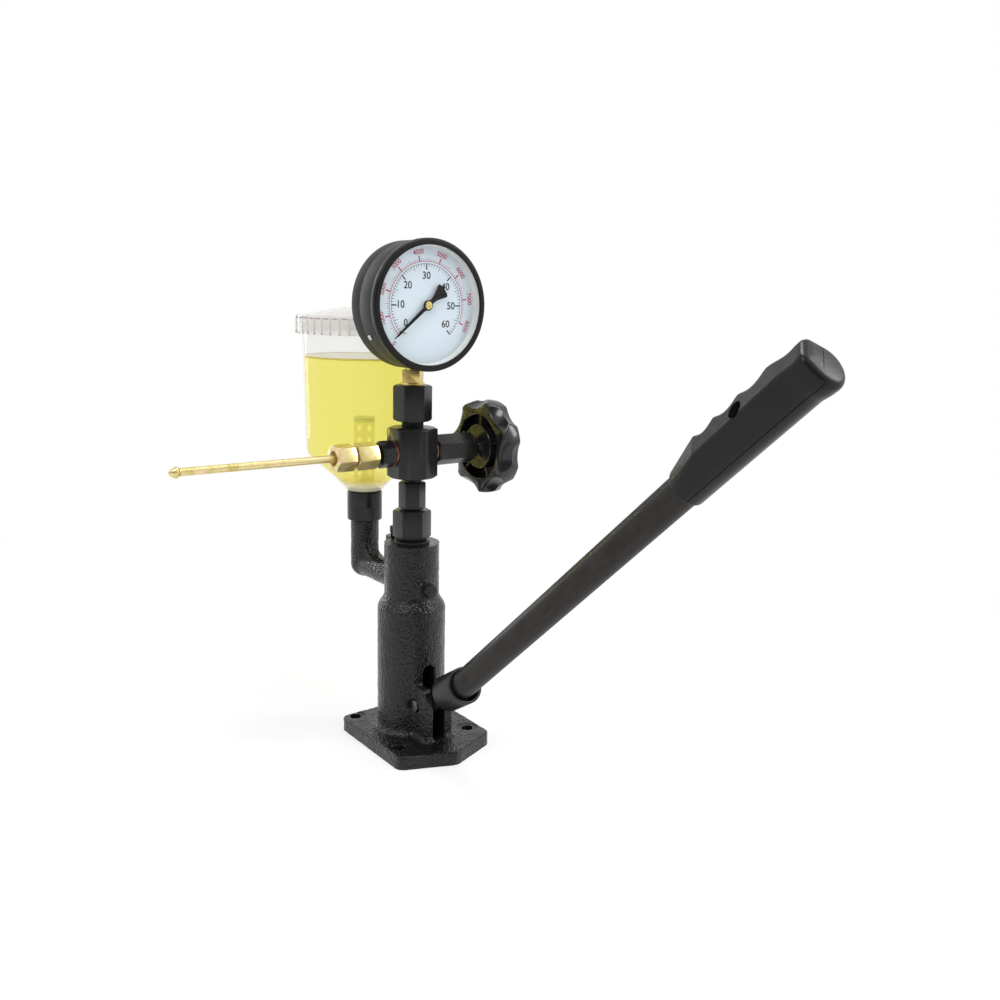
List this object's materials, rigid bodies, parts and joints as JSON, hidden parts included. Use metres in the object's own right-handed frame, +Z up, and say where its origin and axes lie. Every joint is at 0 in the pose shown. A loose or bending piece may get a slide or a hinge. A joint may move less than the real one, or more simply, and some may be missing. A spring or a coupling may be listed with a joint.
{
  "type": "diesel injector tester",
  "caption": "Hand-pumped bench tester for diesel injectors: cast column on a bolted base, long lever, dial gauge, shut-off valve, outlet pipe and clear oil cup.",
  "frame": {"origin": "on the pump column's axis, at the underside of the base plate, which is the centre of the four bolt holes", "axes": "+Z up along the column; -Y to the front, where the lever and the dial face; +X towards the shut-off valve and -X towards the outlet pipe"},
  "size_m": [0.2795, 0.5208, 0.408],
  "materials": {
    "cast_paint": "black gloss paint over a rough casting",
    "bright_steel": "machined steel",
    "black_oxide": "satin black oxide on machined hexagon bar",
    "copper": "soft copper",
    "yellow_zinc": "yellow zinc plating on steel",
    "seal_rubber": "black rubber",
    "brass": "machined brass",
    "knob_plastic": "polished black phenolic",
    "case_paint": "satin dark grey paint",
    "bezel_paint": "gloss black paint",
    "clear_glass": "clear glass",
    "dial_face": "white printed dial",
    "pointer_paint": "matt black paint",
    "clear_cup": "clear moulded plastic",
    "lid_plastic": "translucent white plastic",
    "filter_steel": "perforated sheet",
    "tube_steel": "brownish black steel tube",
    "grip_vinyl": "satin black vinyl"
  },
  "bodies": {
    "body": {"pump_body": "cast_paint", "plunger_barrel": "bright_steel", "barrel_lock_screw": "black_oxide", "lock_screw_washer": "black_oxide", "bleed_screw": "black_oxide", "plunger_spring": "bright_steel", "delivery_seat": "bright_steel", "delivery_spring": "bright_steel", "delivery_holder": "black_oxide", "holder_ring": "bright_steel", "coupling_nipple": "black_oxide", "cross_block": "black_oxide", "outlet_washer": "copper", "outlet_union": "black_oxide", "pipe_nut": "yellow_zinc", "injector_pipe": "yellow_zinc", "valve_washer": "copper", "valve_bonnet": "black_oxide", "valve_packing": "seal_rubber", "gland_bush": "brass", "gauge_coupling": "black_oxide", "gauge_socket": "brass", "gauge_case": "case_paint", "gauge_back": "case_paint", "gauge_bezel": "bezel_paint", "gauge_glass": "clear_glass", "gauge_dial": "dial_face", "stop_pin": "brass", "movement_frame": "brass", "bourdon_tube": "brass", "bourdon_link": "brass", "hairspring": "bright_steel", "case_screws": "bright_steel", "cup_adapter": "black_oxide", "cup_seal": "seal_rubber", "oil_cup": "clear_cup", "inlet_filter": "filter_steel", "lever_pin": "black_oxide", "pin_clip": "black_oxide"},
    "plunger": {"plunger": "bright_steel", "tappet": "bright_steel", "spring_seat": "black_oxide"},
    "lever": {"lever_arm": "cast_paint", "lever_tube": "tube_steel", "lever_grip": "grip_vinyl", "grip_screw": "bright_steel"},
    "delivery_valve": {"delivery_valve": "bright_steel"},
    "valve_stem": {"valve_stem": "bright_steel"},
    "valve_knob": {"valve_knob": "knob_plastic", "knob_screw": "bright_steel"},
    "gauge_sector": {"sector_gear": "brass"},
    "gauge_pointer": {"gauge_pointer": "pointer_paint", "pointer_cap": "brass", "pinion_arbor": "brass"},
    "cup_lid": {"cup_lid": "lid_plastic"},
    "injector_nut": {"injector_nut": "yellow_zinc"}
  },
  "joints": [
    {"name": "lever_pump", "type": "hinge", "parent": "body", "child": "lever", "pos_m": [0, -0.0265, 0.0375], "axis": [1, 0, 0], "range_deg": [0, 28], "stiffness_Nm_per_rad": 6, "springref_deg": -34.38},
    {"name": "plunger_lift", "type": "slide", "parent": "body", "child": "plunger", "axis": [0, 0, 1], "range_m": [0, 0.013], "deforming": ["plunger_spring"]},
    {"name": "delivery_valve_lift", "type": "slide", "parent": "body", "child": "delivery_valve", "axis": [0, 0, 1], "range_m": [0, 0.0015], "stiffness_N_per_m": 400, "springref_m": -0.004, "deforming": ["delivery_spring"]},
    {"name": "stem_lift", "type": "slide", "parent": "body", "child": "valve_stem", "axis": [1, 0, 0], "range_m": [0, 0.0031]},
    {"name": "knob_turn", "type": "hinge", "parent": "valve_stem", "child": "valve_knob", "pos_m": [0.0723, 0, 0.2422], "axis": [1, 0, 0], "range_deg": [0, 720]},
    {"name": "sector_swing", "type": "hinge", "parent": "body", "child": "gauge_sector", "pos_m": [0, -0.0106, 0.3316], "axis": [0, 1, 0], "range_deg": [-27, 0], "stiffness_Nm_per_rad": 0.02, "springref_deg": 22.92},
    {"name": "pointer_turn", "type": "hinge", "parent": "body", "child": "gauge_pointer", "pos_m": [0, -0.0212, 0.358], "axis": [0, 1, 0], "range_deg": [0, 270]},
    {"name": "lid_lift", "type": "slide", "parent": "body", "child": "cup_lid", "axis": [0, 0, 1], "range_m": [0, 0.06]},
    {"name": "nut_slide", "type": "slide", "parent": "body", "child": "injector_nut", "axis": [-1, 0, 0], "range_m": [0, 0.125]}
  ],
  "couplings": [
    {"joint": "plunger_lift", "follows": "lever_pump", "m_per_rad": 0.0265},
    {"joint": "stem_lift", "follows": "knob_turn", "m_per_rad": 0.00023873},
    {"joint": "pointer_turn", "follows": "sector_swing", "ratio": -10}
  ]
}
